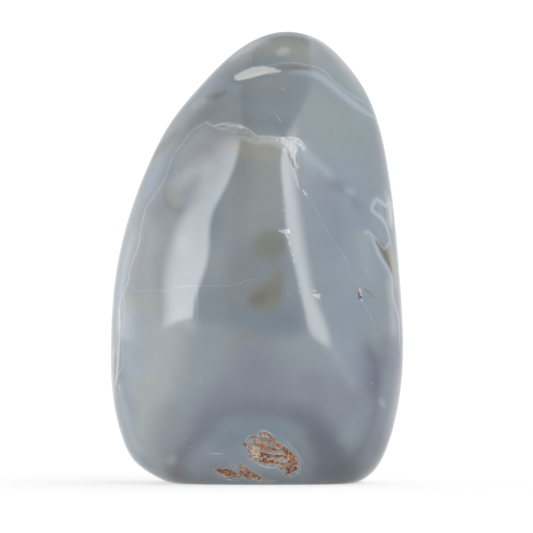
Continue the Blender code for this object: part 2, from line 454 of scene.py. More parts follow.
# The stone's colours, and one dusky colour that is only painted shade, in red, green and blue from 0 to 255
GREY = (146, 152, 151)
LIGHT_GREY = (154, 160, 160)
SLATE = (134, 140, 145)
DEEP_SLATE = (124, 131, 142)
BLUE_SLATE = (128, 136, 149)
BLUE_GREY = (134, 147, 160)
TEAL_GREY = (136, 148, 153)
PALE_GREY = (161, 168, 173)
MILKY = (176, 183, 189)
PALE_MILKY = (184, 190, 196)
HAZE = (164, 174, 185)
SAGE = (163, 170, 169)
TEAL = (142, 157, 162)
PALE_TEAL = (148, 163, 168)
POOL = (117, 131, 140)
ICE = (157, 169, 180)
SKY = (140, 151, 176)
KHAKI = (131, 133, 125)
OLIVE = (124, 125, 118)
DEEP_OLIVE = (112, 111, 105)
PALE_OLIVE = (163, 165, 159)
DOME = (158, 160, 156)
CREAM = (164, 159, 150)
UMBER = (110, 107, 100)
BLUSH = (196, 194, 200)
BROWN = (126, 121, 118)
MAUVE = (153, 154, 157)
SAND = (157, 156, 150)
PLUM = (104, 110, 126)
DUSK = (106, 110, 122)
# Painted shade near the base
PAINTED_SHADE_DUSK = (90, 95, 104)
BODY = (138, 147, 154)
PORE_CREAM = (222, 204, 188)
PORE_TAN = (206, 160, 132)
PORE_RUST = (178, 108, 74)
PORE_DARK = (84, 50, 38)
PORE_RIM = (200, 190, 178)
PORE_HALO = (186, 192, 196)
LINE_WHITE = (214, 218, 220)

# How much painted shade darkens the stone towards its base, where the floor close to it shades it, and from
# what height in millimetres
BASE_SHADE = 0.34
BASE_SHADE_HEIGHT = 7.0

# The depth at which a mark's edge has ended, in units of its softness, and how far to either side a
# line is drawn, in millimetres
MARK_DEPTH = 2.0
LINE_REACH = 1.0

# Soft clouds in the stone, with painted shade near the base and a painted reflection among them, from the
# lowest: colour, softness in millimetres, strength and strokes
CLOUDS_AND_PAINTED_LIGHT = laid(
    seen,
    # Broad zones of the face
    (TEAL_GREY, 9, 1, (338, 85, 26), (346, 130, 30)),
    (SLATE, 5, 0.6, (318, 84, 5), (331, 98), (342, 112)),
    (BLUE_GREY, 10, 1, (340, 190, 34), (348, 240), (356, 300, 26)),
    (BLUE_SLATE, 7, 0.7, (328, 204, 8), (336, 222), (332, 238, 6)),
    (GREY, 8, 1, (256, 150, 20), (258, 190, 24), (252, 225, 20)),
    (PALE_GREY, 4, 0.7, (176, 206, 6), (190, 196), (202, 186)),
    (PALE_GREY, 8, 0.5, (230, 190, 6), (228, 212, 8), (224, 235), (218, 272)),
    (SLATE, 8, 1, (250, 262, 18), (245, 300, 26), (248, 325, 28)),
    (PALE_GREY, 7, 0.6, (165, 190, 8), (172, 215, 12), (180, 240, 10)),
    (PALE_GREY, 10, 1, (150, 240, 16), (150, 290, 12), (156, 340, 30), (154, 380, 24)),
    (GREY, 5, 0.5, (157, 258, 6), (160, 290), (160, 314, 8)),
    (MILKY, 4, 0.5, (184, 322, 5), (193, 326)),
    (SAGE, 10, 1, (150, 384, 14), (143, 414), (142, 438, 9)),
    (SLATE, 5, 0.55, (172, 408, 6), (173, 428), (167, 446)),
    (LIGHT_GREY, 5, 0.9, (142, 448, 6), (154, 460), (161, 472)),
    (DEEP_SLATE, 6, 1, (254, 320, 12), (274, 318, 14), (290, 320, 12)),
    (DEEP_SLATE, 10, 1, (255, 368, 22), (262, 395, 36)),
    (POOL, 5, 0.7, (238, 320, 8), (262, 326), (292, 328, 6)),
    (DEEP_SLATE, 7, 0.95, (226, 392, 14), (212, 404), (200, 420, 10)),
    (DEEP_SLATE, 6, 0.9, (312, 384, 14), (318, 402)),
    (BLUE_SLATE, 8, 0.9, (356, 380, 24), (345, 410)),
    (DOME, 6, 1, (236, 60, 8), (252, 50, 14), (274, 44), (300, 51)),
    (MILKY, 3, 0.85, (236, 56, 5), (250, 47, 7), (264, 42, 5)),
    (SLATE, 8, 0.45, (212, 112, 10), (250, 98, 12), (284, 94, 10)),
    (SLATE, 4, 0.9, (228, 117, 4), (256, 121, 6), (288, 125)),
    (GREY, 5, 0.5, (236, 82, 6), (262, 84), (290, 80)),
    (MILKY, 6, 0.7, (116, 350, 7), (120, 300), (127, 258), (132, 238, 4)),
    (HAZE, 6, 0.8, (120, 388, 6), (126, 416), (136, 446)),
    # Upper left: olive, brown and blue zones outside the fracture
    (OLIVE, 2.6, 0.85, (156, 152, 7), (166, 143, 8), (176, 133, 5)),
    (SKY, 2.8, 0.85, (150, 190, 5), (153, 180, 6), (158, 170)),
    (PALE_OLIVE, 2.4, 0.5, (196, 104, 6), (204, 101, 5)),
    (BROWN, 2.2, 0.9, (209, 97, 2), (217, 96, 4), (224, 93, 2)),
    (BROWN, 4, 0.35, (190, 124, 6), (204, 114, 8), (216, 108, 6)),
    (SKY, 4, 0.35, (206, 92, 5), (220, 84), (232, 88)),
    # Warm haze under the ledge
    (MAUVE, 6, 1, (186, 172, 12), (192, 158, 14), (206, 145), (224, 146, 10)),
    (MILKY, 6, 0.95, (178, 184, 7), (188, 175, 9), (200, 168)),
    (PALE_OLIVE, 2, 0.6, (196, 167, 2), (200, 162, 2.5)),
    (MILKY, 5, 0.4, (178, 161, 4), (185, 150), (193, 141), (202, 134)),
    (SAND, 4, 0.9, (238, 147, 6), (256, 152, 8), (272, 154)),
    # Milky left flank, and a warm border inside the left fracture
    (HAZE, 7, 0.85, (128, 316, 12), (128, 352), (134, 386, 10)),
    (PALE_MILKY, 2.5, 0.8, (113, 350, 3), (113, 372), (114, 392)),
    (MAUVE, 3, 0.8, (146, 218, 4), (143, 245, 6), (137, 268, 5), (134, 285, 4)),
    (OLIVE, 2.4, 0.6, (164, 190, 2.5), (167, 201, 3.5), (173, 209, 3), (181, 211, 2)),
    (PALE_OLIVE, 4, 0.6, (170, 192, 8), (175, 200)),
    # Olive spots
    (KHAKI, 2.2, 0.7, (268, 246, 15), (270, 245)),
    (OLIVE, 4, 0.55, (272, 246, 8), (276, 243)),
    (KHAKI, 4, 0.45, (274, 262, 6), (277, 270)),
    (
        KHAKI, 2.4, 0.85,
        ((264, 299, 14), (269, 296)), ((274, 288, 9), (279, 277, 5)),
    ),
    (OLIVE, 4, 0.6, (260, 301, 9), (266, 297), (272, 291, 7)),
    (DEEP_OLIVE, 2.8, 0.55, (252, 300, 3), (256, 300, 4), (262, 296, 3)),
    (KHAKI, 1.6, 1, (241.5, 338.5, 2.2), (245, 335, 2.8)),
    (PALE_OLIVE, 4, 0.7, (126, 300, 5), (142, 303, 8), (152, 300, 6)),
    (PALE_OLIVE, 4, 0.7, (134, 384, 5), (148, 388)),
    (ICE, 3, 0.3, (128, 412, 4), (134, 420, 5)),
    # Blue band that falls to the right from the chip, and dusky spots at its end
    (ICE, 4, 0.7, (304, 150, 6), (309, 164), (309, 178)),
    (ICE, 2.4, 0.75, (302, 150, 3), (318, 164, 4), (332, 178)),
    (SLATE, 4, 0.5, (308, 176, 8), (326, 190)),
    (DUSK, 3.6, 0.5, (334, 183, 5), (343, 189)),
    (ICE, 1.8, 0.6, (347, 190, 2.5), (352, 192, 3)),
    (DUSK, 2.6, 0.4, (353, 200, 3), (359, 206)),
    # Teal zone and blue hollow on the right
    (PALE_TEAL, 7, 0.9, (360, 238, 6), (365, 254, 9), (366, 274)),
    (TEAL, 6, 0.7, (344, 264, 5), (347, 276), (346, 288)),
    (BLUE_SLATE, 2, 0.3, (360, 270, 3), (364, 279, 4)),
    (TEAL, 2.4, 0.8, (374, 222, 4), (381, 236, 5)),
    (MILKY, 2.2, 0.7, (386, 194, 3), (388, 208, 3.5), (388, 222, 3)),
    (PALE_GREY, 2.2, 0.6, (379, 205, 3), (381, 213, 4), (384, 221, 3)),
    (BLUE_GREY, 6, 0.5, (336, 300, 12), (346, 322)),
    (SKY, 7, 0.4, (340, 345, 12), (352, 362)),
    (CREAM, 2, 1, (391, 246, 4.5), (393, 262, 6), (396, 286, 4.5)),
    (BLUSH, 2.4, 0.8, (390, 204, 3.5), (391, 214, 4.5), (391, 224, 3.5)),
    (
        ICE, 1.8, 0.6,
        ((386, 205, 3), (377, 199), (372, 207), (378, 216), (385, 224), (389, 236), (390, 243)),
        ((366, 233, 3), (374, 243), (382, 260), (390, 275), (393, 295)),
    ),
    (BLUE_SLATE, 6, 0.9, (388, 345, 7), (390, 375, 9), (386, 412), (378, 440, 7)),
    # Dusky purple patch at the lower right
    (PLUM, 7, 1, (368, 349, 3), (373, 359, 8), (376, 370), (375, 386, 5)),
    (PLUM, 5, 0.4, (384, 344, 5), (385, 362)),
    (MILKY, 5, 0.8, (390, 284, 3), (392, 304), (394, 330)),
    # Arches near the base, with painted shade and a painted reflection on the lower right
    (
        DUSK, 8, 0.8,
        ((177, 487, 5), (177, 472, 6), (181, 456, 7), (190, 443, 8), (204, 428, 7), (222, 415),
         (234, 411.5, 6.5), (246, 410, 6), (278, 413, 8), (305, 422, 10), (322, 437, 12), (333, 452, 13),
         (340, 468)),
        ((340, 468, 13), (354, 460, 10), (364, 444, 7), (372, 425, 5), (376, 405, 4), (375, 385)),
    ),
    (DUSK, 7, 0.85, (298, 414, 7), (314, 424, 10), (322, 440), (322, 468, 12)),
    # Painted reflection: a faint lighter streak on the lower right
    (PALE_GREY, 5, 0.5, (330, 346, 4), (340, 362), (351, 382)),
    # Painted shade low on the right, near the base
    (PAINTED_SHADE_DUSK, 9, 0.6, (316, 440, 8), (330, 452, 13), (342, 464, 16), (354, 474, 12)),
    (DUSK, 5, 0.5, (186, 454, 5), (193, 445), (204, 436), (214, 430)),
    (POOL, 6, 0.9, (226, 440, 16), (250, 432), (288, 434, 10)),
    (DEEP_SLATE, 5, 0.7, (206, 462, 10), (222, 464), (240, 458, 8)),
    # Painted shade on the lower right
    (DUSK, 4, 0.6, (296, 446, 5), (304, 462)),
    (TEAL_GREY, 5, 0.8, (346, 436, 5), (354, 422)),
    (PALE_GREY, 2.4, 0.7, (170, 462, 2.5), (173, 459)),
    (BROWN, 3.6, 0.6, (175, 487, 5), (175, 472), (182, 460, 4)),
    # Painted shade along the base on the right
    (PAINTED_SHADE_DUSK, 4.5, 0.9, (300, 486, 5), (334, 484, 8), (356, 480, 6)),
    (ICE, 1.8, 0.7, (381, 401, 2.4), (384, 405)),
) + laid(
    around,
    # Broad zones of the sides and back
    (TEAL_GREY, 9, 1, (104, 84, 7), (126, 80, 9), (150, 84)),
    (GREY, 12, 0.9, (98, 54, 4), (116, 56, 8), (140, 58, 12), (168, 62)),
    (SLATE, 9, 0.9, (186, 84, 9), (206, 72, 10), (232, 70, 8)),
    (BLUE_GREY, 9, 0.9, (196, 48, 10), (222, 50, 11), (246, 56, 9)),
    (BLUE_SLATE, 9, 0.8, (108, 28, 8), (138, 34)),
    (PALE_GREY, 8, 0.9, (232, 26, 7), (252, 30, 8)),
    (PALE_GREY, 7, 0.6, (150, 40, 5), (176, 44, 6), (198, 38, 4)),
    (MILKY, 6, 0.5, (168, 94, 5), (186, 98, 4)),
    # The arch at the back, with its dusky ring and a blue hollow inside, and painted shade low on the sides
    (DUSK, 6, 0.7, (104, 6, 1.4), (116, 15, 2.4), (134, 22, 2.8), (158, 27), (184, 28)),
    (DUSK, 5, 0.75, (184, 28, 2.8), (212, 24), (236, 14, 2.4), (250, 5, 2)),
    (POOL, 6, 0.8, (140, 9, 5), (172, 13, 7), (206, 10, 6)),
    (ICE, 2.6, 0.55, (112, 20, 1.2), (134, 31, 1.4), (160, 37), (188, 38, 1.3), (216, 33, 1.2)),
    (PLUM, 9, 0.75, (80, 31, 5), (92, 29, 7), (106, 24, 6)),
    # Painted shade a few millimetres above the base on the right side
    (DUSK, 8, 0.75, (72, 8, 4), (92, 9, 6), (112, 7, 5), (128, 5, 3)),
    # Painted shade just above the base on the left side
    (DUSK, 6, 0.6, (236, 5, 4), (252, 8), (268, 6, 3)),
    (ICE, 7, 0.6, (258, 20, 6), (268, 34, 7), (272, 50), (272, 66, 6)),
    (BLUE_GREY, 6, 0.8, (262, 84, 5), (254, 92)),
    # Olive, brown and blue spots
    (OLIVE, 4.6, 0.85, (160, 68, 2.6), (167, 66, 3.6), (172, 62, 2.4)),
    (DEEP_OLIVE, 2.6, 0.6, (164, 65, 1), (167, 64, 1.2)),
    (OLIVE, 4.6, 0.7, (206, 58, 2.4), (211, 55, 3.2), (213, 52, 2.4)),
    (PALE_OLIVE, 5, 0.7, (122, 48, 1.6), (128, 46, 2.2)),
    (PALE_OLIVE, 5, 0.6, (245, 44, 1.8), (251, 41, 2.4)),
    (BROWN, 3.4, 0.5, (190, 76, 1.2), (198, 74, 1.6), (208, 73.5, 0.8)),
    (SKY, 3.4, 0.6, (140, 76, 1.6), (150, 73, 2), (160, 75, 1.4)),
    (SKY, 3.4, 0.6, (222, 80, 1.6), (232, 77, 2), (240, 73, 1.6)),
    (MAUVE, 3.6, 0.6, (104, 62, 2), (110, 57, 2.4), (113, 51, 1.8)),
)

# Marks with clear edges: colour, softness of the edge in millimetres, strength and strokes
LOW_MARKS = laid(
    seen,
    (
        (151, 155, 151), 0.9, 0.9,
        (214, 127, 1.6), (225, 129, 3.4), (236, 131.5, 4.6), (247, 134.5), (256, 139.5, 3.6),
    ),
    (
        (180, 182, 179), 2, 0.85,
        (244, 138, 1.6), (254, 140, 3.4), (268, 140.5, 3.8), (280, 143, 4.8), (287, 147),
    ),
    (
        (154, 168, 179), 1.3, 0.95,
        (290, 72.6, 0.8), (300, 72, 3), (312, 73.5, 3.8), (324, 79), (334, 87.5), (346, 97.5),
        (356, 105.5), (368, 113.5, 3), (376, 118.5, 1.6),
    ),
    (
        (200, 203, 201), 0.8, 0.9,
        (237, 77, 3.2), (244, 74.5, 4.8), (254, 71.5, 5.6), (264, 70, 4.6), (272, 70, 3), (280, 71, 1),
    ),
    (UMBER, 1.8, 1, (376, 241, 1), (381.5, 247, 3.4), (385, 254, 5), (388, 262, 4), (391, 272, 1.6)),
    ((202, 197, 202), 1.3, 0.7, (390.5, 203, 1.4), (390.2, 212, 2.8), (391, 221, 1.2)),
    (
        (208, 204, 200), 1, 0.8,
        (119, 308, 1), (119.5, 330, 1.8), (118.5, 350, 2.4), (117.5, 368), (115.5, 384, 1.2),
    ),
)
HIGH_MARKS = laid(
    seen,
    ((204, 206, 209), 1, 0.9, *LEDGE_CHIP),
    ((164, 169, 174), 1, 0.9, (292, 158, 2.2), (294.5, 172), (298.5, 187, 0.8)),
    # A brighter line along the crescent's lower edge: a painted highlight
    ((208, 211, 209), 0.7, 0.8, (238, 79, 1.4), (246, 77, 2.4), (256, 74), (266, 71.5, 1.4)),
    ((138, 134, 130), 1, 0.9, (277, 68.5, 0.8), (286, 67.5, 2.6), (297, 67.5), (308, 69, 0.8)),
    (
        (188, 202, 210), 0.9, 0.42,
        ((389, 196, 1.6), (386.3, 205.8, 2.4), (381.3, 202.6), (377.1, 199.4, 2)),
        ((377.1, 199.4, 2), (372.6, 205.4), (372.5, 210.3), (377.1, 214.5), (382.7, 219.4), (387, 227.8),
         (389.2, 236.3), (389.4, 243.3, 1.6), (387, 246.2), (384.1, 248.9, 1.2)),
        ((384.1, 248.9, 1.2), (380.6, 244.7), (377.1, 239.8), (373.6, 236.3, 0.8)),
        ((364.5, 232.8, 0.8), (368.7, 231.8, 1.6), (372, 235.4), (374.3, 241.9), (377.8, 251.7),
         (382.7, 260.1), (388.3, 268.5, 2.2), (391.9, 278.4, 2.6), (392.6, 292.4), (394.7, 303.6),
         (398.2, 317.6), (399.5, 335, 1.8), (400, 350, 0.8)),
    ),
) + laid(
    around,
    (
        (154, 165, 177), 1.2, 0.9,
        (84, 88, 0.9), (98, 85, 1.2), (116, 84, 1.3), (132, 87, 1.1), (146, 92, 0.7),
    ),
    ((190, 194, 197), 0.8, 0.75, (148, 60.4, 0.4), (151, 61.4, 1.2), (154, 59.8, 0.9), (156, 57, 0.3)),
    ((188, 192, 195), 0.7, 0.7, (240, 61.5, 0.4), (243, 62.4, 0.9), (246, 61.6, 0.4)),
)
SMALL_MARKS = laid(
    seen,
    (
        (200, 206, 210), 0.3, 0.65,
        ((278.6, 230.4, 0.5), (282, 231.4, 1.3), (285, 231.2, 2.2), (288.4, 231.4)),
        ((285.6, 233, 1.2), (286.6, 236, 0.8), (288.2, 238.4, 0.5)),
        ((289.3, 241.5, 0.5), (289.7, 245.6)), ((291.3, 251.6, 0.3), (291.6, 253)),
        ((292.6, 254.4, 0.5), (293, 255.6)), ((293.7, 258.6, 0.3), (294.6, 262.4)),
        ((298.2, 283.6, 0.3), (298.5, 285.6)), ((299.3, 290.8, 0.4), (299.8, 293.5)),
        ((303, 190.5, 0.9), (306.2, 194.6, 1.2)), ((314, 294.8, 1), (319, 295.5, 1.8)),
        ((317, 296.5, 1.4), (319.4, 298, 1)), ((313, 290.2, 0.5), (316.4, 290.8)),
        ((282.3, 200.8, 0.4), (282.4, 202)), ((282.4, 209.8, 0.4), (282.4, 211)),
        ((119.2, 385.5, 1), (119.6, 389)), ((361.3, 299.4, 0.8), (362.2, 300.8)),
    ),
    (
        (212, 192, 188), 0.2, 0.9,
        ((359.9, 288.2, 0.8), (360.6, 291.4, 1.1)), ((361.2, 294.4, 0.7), (361.5, 295.2)),
    ),
    (
        (62, 54, 58), 0.2, 0.9,
        ((358.9, 292.8, 0.8), (359.3, 294.6)), ((360.6, 296, 0.8), (361, 297.3)),
        ((358.9, 297.4, 0.7), (359.2, 298.6)), ((290.4, 230.3, 0.5), (290.8, 231.3)),
    ),
    ((134, 134, 140), 0.4, 0.8, (292.9, 159, 0.5), (292.6, 163, 1), (293.4, 167.5, 0.5)),
    ((140, 128, 142), 0.4, 0.8, (393.6, 200, 0.5), (393.9, 208, 0.8), (393.6, 216, 0.4)),
    ((134, 136, 114), 0.6, 0.9, (364, 288.6, 0.8), (368.5, 292, 1.6), (373.5, 297, 1)),
) + laid(
    around,
    (
        (200, 206, 210), 0.3, 0.65,
        ((172, 50, 0.25), (173.5, 49, 0.35)), ((176, 46.5, 0.12), (176.4, 45, 0.15)),
        ((178, 42, 0.12), (178.5, 40, 0.15)), ((204, 82, 0.2), (206, 81.2, 0.3)),
        ((116, 38, 0.2), (117.5, 37, 0.3)), ((236, 36, 0.2), (238, 35.4, 0.3)),
    ),
)
MARK_LAYERS = (("low_mark", LOW_MARKS), ("high_mark", HIGH_MARKS), ("small_mark", SMALL_MARKS))

# Colours on the rough floors of the pores, laid as the clouds are
PORE_CLOUDS = laid(
    seen,
    (PORE_CREAM, 1.2, 0.9, (244, 445, 2.4), (252, 449, 4.5), (256, 455), (256, 459, 3)),
    (
        PORE_CREAM, 0.8, 0.8,
        ((261, 434, 2), (268, 437, 2.6)), ((241, 467, 2.4), (243, 470)),
    ),
    (PORE_CREAM, 0.8, 0.5, (252, 440, 2), (262, 442, 1.6), (274, 445.5)),
    (PORE_CREAM, 0.5, 0.8, (280, 466, 1.2), (284, 471), (288, 477)),
    (PORE_RUST, 1.2, 0.45, (218, 470, 3), (226, 475, 4)),
    (
        PORE_RUST, 0.6, 0.65,
        ((262, 440, 1.4), (272, 443), (280, 447)), ((260.5, 446, 1), (268.8, 449.2), (276.4, 451.1)),
        ((268, 455.6, 1.6), (276, 457), (283, 458)), ((293, 458, 2.4), (295.5, 466)),
        ((246, 478, 2.6), (250, 480)),
    ),
    (
        PORE_DARK, 0.7, 0.8,
        ((284, 450.5, 1.6), (290, 454.5)), ((262, 456.5, 1.8), (266, 455, 1.4)),
        ((267, 459, 1.2), (269, 459)), ((261, 461, 1.2), (266, 462.5, 1.6)),
        ((270.5, 463, 1), (272, 463)), ((296, 468, 1.2), (295, 473)), ((289.5, 468, 1.8), (288.5, 474)),
        ((226, 471, 1.3), (229.6, 472.2)), ((222, 474.5, 1), (223, 475)),
        ((226, 478.5, 1.1), (231, 479.8)), ((259.4, 479.6, 1), (260.6, 480.2)),
        ((266.8, 480.8, 0.8), (268.2, 481)),
    ),
    (PORE_DARK, 0.8, 0.4, (250, 474, 1.8), (256, 477)),
)

# Fine lines: strength and strokes, in two families, so that lines of one can cross the other's
FIRST_LINES = laid(
    seen,
    (
        0.28,
        (112.4, 361.7, 0.7), (115, 342, 0.9), (119, 317.8), (121.8, 296, 1.1), (127.6, 283.3),
        (130, 269.6), (138, 246.6), (141, 229.7), (146, 207.6),
    ),
    (
        0.18,
        (146, 207.6, 1.1), (155, 194.5), (166, 176.3), (170, 163.5), (174, 154), (182, 144.4),
        (190, 133.2), (197.8, 126.8), (207, 122),
    ),
    (
        0.26,
        ((207, 122, 1.2), (213, 126, 0.9), (220.7, 124), (227, 125), (234.6, 126.2, 1.1), (242, 127.4),
         (249, 129.4, 0.8), (253.7, 133.3), (258, 136.3)),
        ((258, 136.3, 0.9), (265, 136.3), (272.8, 137), (283, 138, 1.2), (292, 138, 1.4), (299, 140),
         (305.8, 149, 0.8)),
    ),
    (
        0.12,
        ((307, 197, 0.5), (321, 219.4), (332.2, 240.5), (339.2, 249), (347, 261.5), (349, 271.3),
         (353.3, 279.8), (357.5, 285.4)),
        ((361.7, 302.2, 0.6), (367.3, 309.2), (371.5, 317.6), (375.2, 330, 0.2)),
    ),
    settings=1,
) + laid(
    around,
    (
        0.17,
        ((156, 57, 0.25), (166, 52, 0.28), (178, 54, 0.25), (190, 48, 0.28), (204, 44, 0.25),
         (216, 46, 0.2)),
        ((144, 61, 0.22), (132, 66, 0.26), (120, 64), (110, 69), (102, 72, 0.22), (94, 76)),
        ((244, 62, 0.22), (254, 57, 0.26), (262, 50), (266, 42, 0.2)),
    ),
    settings=1,
)
SECOND_LINES = laid(
    seen,
    (
        0.12,
        (127.6, 283.3, 0.7), (130, 285.6), (134.4, 289.6), (149.7, 290), (165, 290.6), (176.5, 287),
        (190, 285.8), (220, 286, 0.5), (233.4, 285.4), (246, 281), (253, 279.6), (262, 281.6, 0.1),
    ),
    (
        0.26,
        (123.5, 296, 0.6), (124.7, 312, 0.8), (123, 329), (122.4, 350), (123, 363.7), (117.2, 377, 1.1),
        (115.3, 390, 0.6),
    ),
    (0.22, (196.5, 289, 0.5), (197.5, 302, 0.8), (196.8, 318, 0.5)),
    (
        0.16,
        (269.6, 65.4, 0.5), (287, 62.7, 1), (309.4, 65.4), (323.8, 71), (333.4, 80.6), (343, 88.6),
        (354, 96.5), (363.6, 101.3), (373.2, 111, 0.6),
    ),
    (
        0.22,
        ((245, 127.8, 0.4), (247.5, 131, 0.7), (244, 134, 0.5)),
        ((229.5, 133.7, 0.4), (239, 136.3, 0.7), (248.5, 137.7), (256, 140.5, 0.5)),
        ((250, 131, 0.5), (254, 136, 0.8), (259, 138.5, 0.5)),
        ((215, 127.5, 0.4), (222, 129.2, 0.6), (229, 127.5)),
        ((293.5, 168, 0.6), (296, 178, 0.9), (299.2, 188.5, 0.5)),
    ),
    settings=1,
) + laid(
    around,
    (
        0.14,
        ((98, 46, 0.14), (120, 43, 0.18), (146, 44), (170, 41), (196, 42), (222, 39, 0.12)),
        ((92, 58, 0.2), (100, 50, 0.26), (104, 40), (100, 30), (104, 20, 0.16)),
        ((150, 92, 0.12), (172, 88, 0.2), (196, 90), (220, 84, 0.12)),
    ),
    settings=1,
)

# Scratches and hair lines, which are of the second family
SCRATCHES = laid(
    seen,
    (
        0.28,
        ((280.7, 87.8, 0.4), (284.7, 90.2)), ((276.8, 115.7, 0.4), (280.7, 122)),
        ((252, 57.5, 0.4), (250.4, 61.5)), ((175.5, 171.5, 0.4), (177, 175.5)),
    ),
    (
        0.09,
        ((251.2, 162, 0.4), (262, 168), (274.4, 173)), ((222.3, 307.4, 0.5), (229.2, 313.2)),
        ((190, 106.2, 0.4), (198, 107)),
    ),
    (
        0.18,
        ((148, 378, 0.5), (147, 384.7)), ((193.5, 382, 0.4), (194.5, 385)),
        ((199.8, 379, 0.4), (200.2, 382.5)), ((155.8, 355.8, 0.4), (155.8, 359)),
        ((210.7, 454, 0.6), (216, 453.6, 1), (222.6, 454, 0.6)), ((186, 439, 0.4), (187, 438.4)),
        ((189.5, 447.5, 0.4), (191, 447)), ((371, 382.4, 0.5), (373, 384)),
    ),
    (
        0.3,
        ((257.5, 441, 0.4), (257.8, 436), (262, 430.5, 0.6), (267, 431.5), (274, 435.5, 0.3)),
        ((245.5, 441, 0.4), (247.3, 437.5), (251, 435.5)),
        ((256, 462.5, 0.5), (262.4, 466.2, 0.8), (270, 467.8), (276, 467.4, 0.4)),
        ((230, 464.6, 0.5), (232.3, 468.2), (235.6, 469.2), (236, 467), (233, 464.4)),
        ((288, 443, 0.3), (297, 452), (303, 463)),
    ),
    settings=1,
)

SPLIT_TRACES = [(traces, splits) for traces, *_, splits in CARVED_TRACES]
SPLIT_TRACES += [(traces, 1) for traces, *_ in LOW_MARKS + HIGH_MARKS + FIRST_LINES + SECOND_LINES]
SPLIT_TRACES += [(traces, 2) for traces, *_ in SMALL_MARKS + SCRATCHES]


def cloud_colours_with_painted_shade(points, ground, clouds):
    """The colours of soft clouds on a ground colour at each point, darkened towards the base by painted
    shade.
    """
    colours = np.tile(skin_colour(*ground), (len(points), 1))
    for traces, colour, soft, strength in clouds:
        inside = depth_inside(points, traces, soft)
        share = ease(inside / soft + 0.5)[:, None] * strength
        colours += share * (skin_colour(*colour) - colours)
    # Painted shade: darker towards the base
    return colours * (1 - BASE_SHADE * ease(1 - points[:, 2] / BASE_SHADE_HEIGHT))[:, None]


def mark_values(points, marks):
    """How deep each point is in the nearest mark, within MARK_DEPTH, and its colour and strength."""
    depth = np.full(len(points), -MARK_DEPTH)
    colours = np.zeros((len(points), 4))
    for traces, colour, soft, strength in marks:
        value = depth_inside(points, traces) / soft
        nearer = value > depth
        depth[nearer] = np.minimum(value[nearer], MARK_DEPTH)
        colours[nearer] = (*skin_colour(*colour), strength)
    return depth, colours


def line_values(points, normals, lines):
    """The distance from the middle of the nearest line, its half width and its strength."""
    nearest = np.full(len(points), -FAR_AWAY)
    values = np.zeros((len(points), 3))
    values[:, 0] = FAR_AWAY
    for traces, strength in lines:
        inside, beside, half = measure(points, normals, traces)
        near = (inside > nearest) & (np.abs(beside) < LINE_REACH)
        nearest[near] = inside[near]
        values[near, 0] = beside[near]
        values[near, 1] = half[near]
        values[near, 2] = strength
    return values


def stone_object():
    """The stone's mesh, with exact normals so that reflections stay smooth, and its markings."""
    body = fine_disc()
    disc = flat_points(body)
    points = stone_skin(disc)
    for vert, point in zip(body.verts, points * MM):
        vert.co = point
    rim = [edge for edge in body.edges if edge.is_boundary]
    bmesh.ops.contextual_create(body, geom=rim)
    bmesh.ops.recalc_face_normals(body, faces=body.faces[:])
    mesh = bpy.data.meshes.new("polished_stone")
    body.to_mesh(mesh)
    body.free()
    mesh.shade_smooth()
    normals = slopes_across(stone_skin, disc)
    if normals[np.argmin(points[:, 1]), 1] > 0:
        normals = -normals
    mesh.normals_split_custom_set_from_vertices(normals.tolist())
    add_markings(mesh, polished_skin(disc), normals)
    stone = bpy.data.objects.new("polished_stone", mesh)
    bpy.context.scene.collection.objects.link(stone)
    return stone


def add_markings(mesh, points, normals):
    """Writes the markings to the mesh, for the material to draw."""

    def write(name, kind, values, field):
        attribute = mesh.attributes.new(name, kind, "POINT")
        attribute.data.foreach_set(field, np.ascontiguousarray(values, np.float32).ravel())

    for name, ground, clouds in (("body", BODY, CLOUDS_AND_PAINTED_LIGHT), ("pore_floor", PORE_TAN, PORE_CLOUDS)):
        colours = cloud_colours_with_painted_shade(points, ground, clouds)
        write(name, "FLOAT_COLOR", np.column_stack([colours, np.ones(len(colours))]), "color")
    for name, marks in MARK_LAYERS:
        depth, colours = mark_values(points, marks)
        write(name, "FLOAT", depth, "value")
        write(name + "_colour", "FLOAT_COLOR", colours, "color")
    for name, lines in (("first_line", FIRST_LINES), ("second_line", SECOND_LINES + SCRATCHES)):
        write(name, "FLOAT_VECTOR", line_values(points, normals, lines), "vector")
    pores = CARVED_TRACES[0][0] + CARVED_TRACES[1][0]
    write("pore", "FLOAT", np.maximum(depth_inside(points, pores), -REACH), "value")


